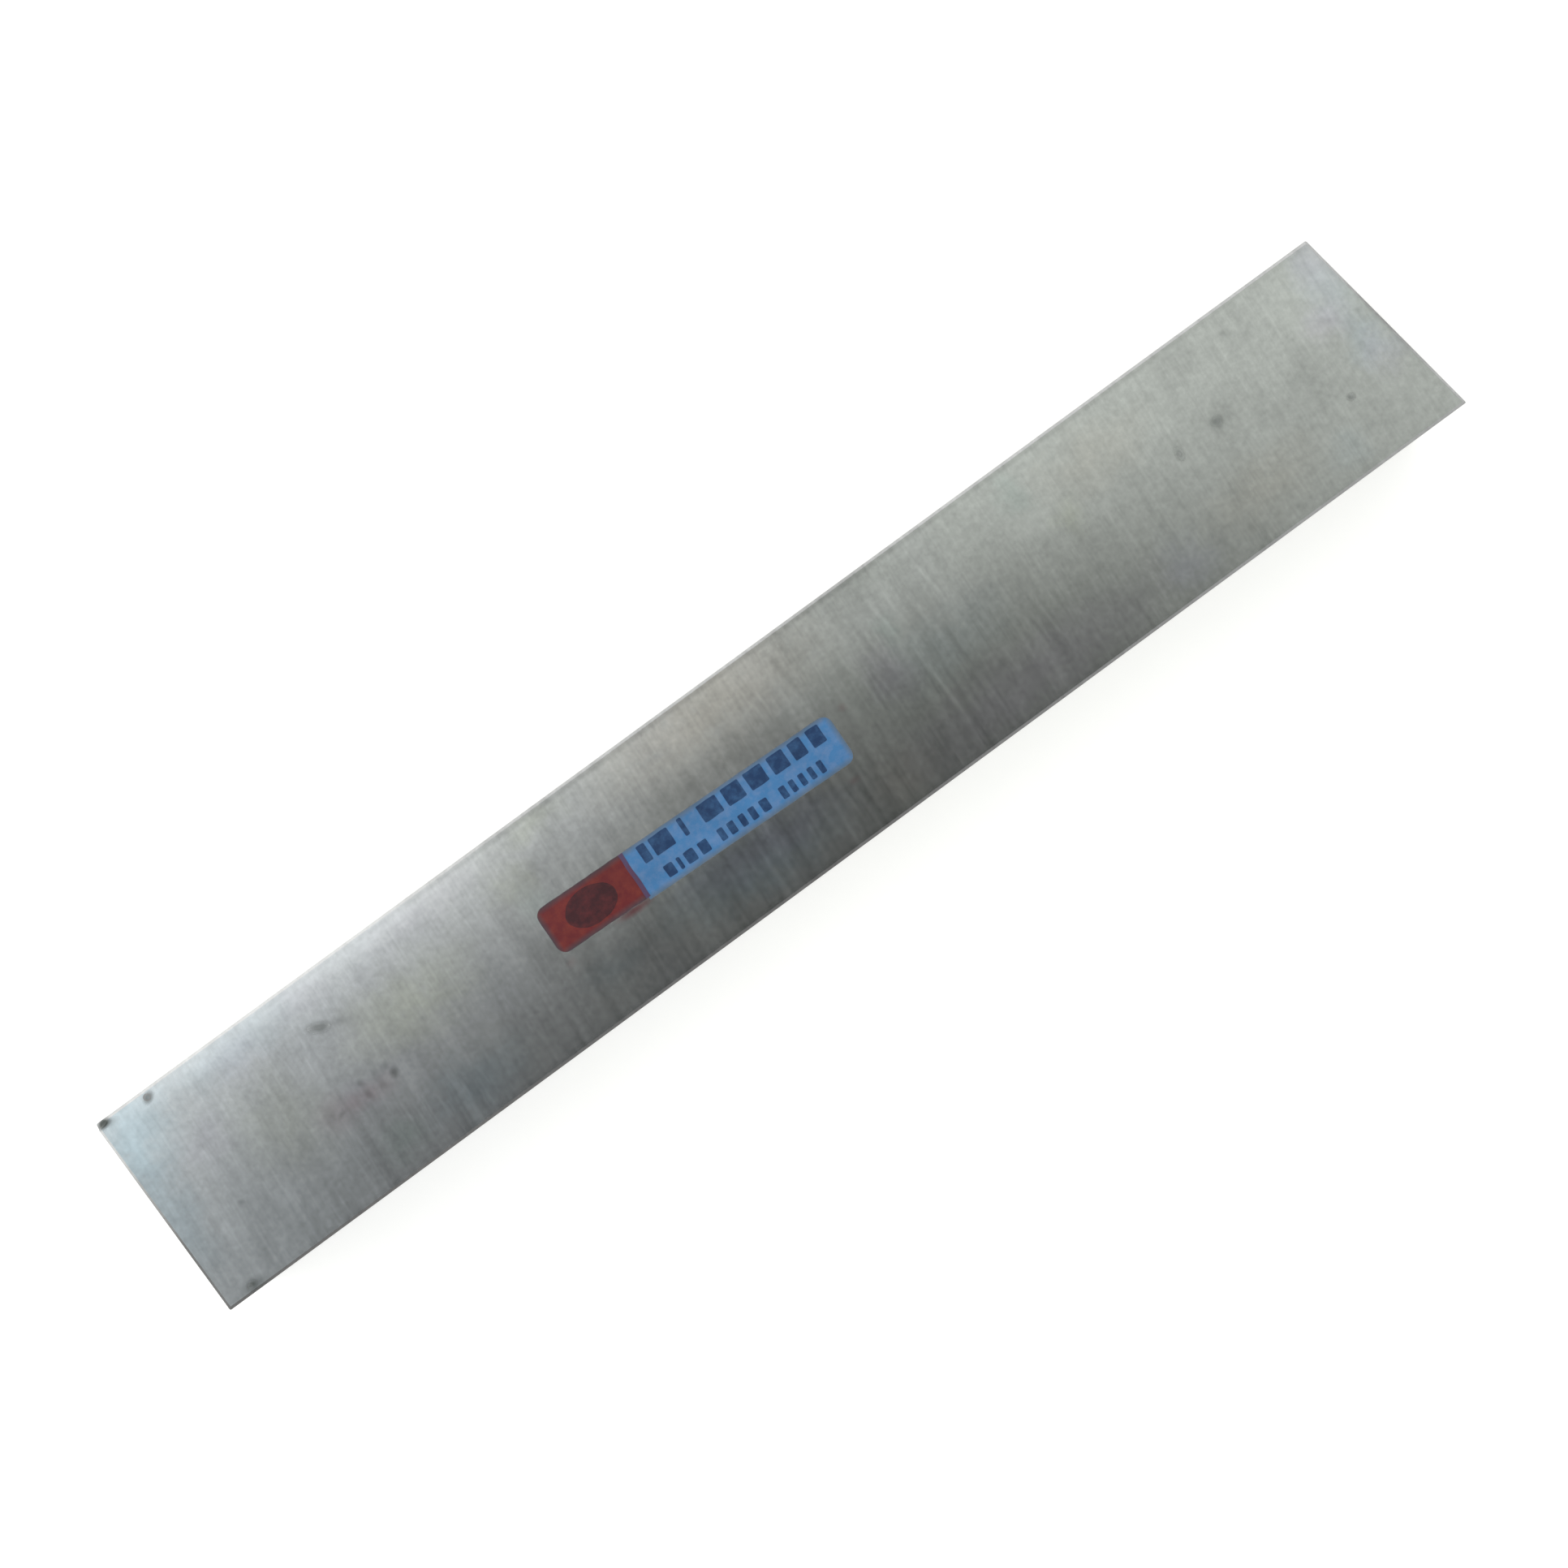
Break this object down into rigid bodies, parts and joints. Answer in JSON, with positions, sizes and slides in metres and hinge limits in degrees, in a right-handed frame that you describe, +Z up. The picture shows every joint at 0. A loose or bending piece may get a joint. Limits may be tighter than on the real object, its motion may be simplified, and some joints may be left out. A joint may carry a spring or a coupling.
{
  "type": "square tool bit",
  "caption": "Square ground bar of cobalt high-speed steel for turning tools, with a square end, a slightly slanted end and a thin printed label on its upper face.",
  "frame": {"origin": "on the floor, under the middle of the bar's bounding box", "axes": "+X along the bar from its square end to its slanted end, +Y across it towards the shorter long edge, +Z up out of the labelled face"},
  "size_m": [0.1284, 0.019, 0.0191],
  "materials": {
    "ground_steel": "ground across its width, satin",
    "label_print": "printed film, light blue with a dark red end, satin"
  },
  "bodies": {
    "root": {"tool_bit": "ground_steel", "label": "label_print"}
  },
  "joints": []
}
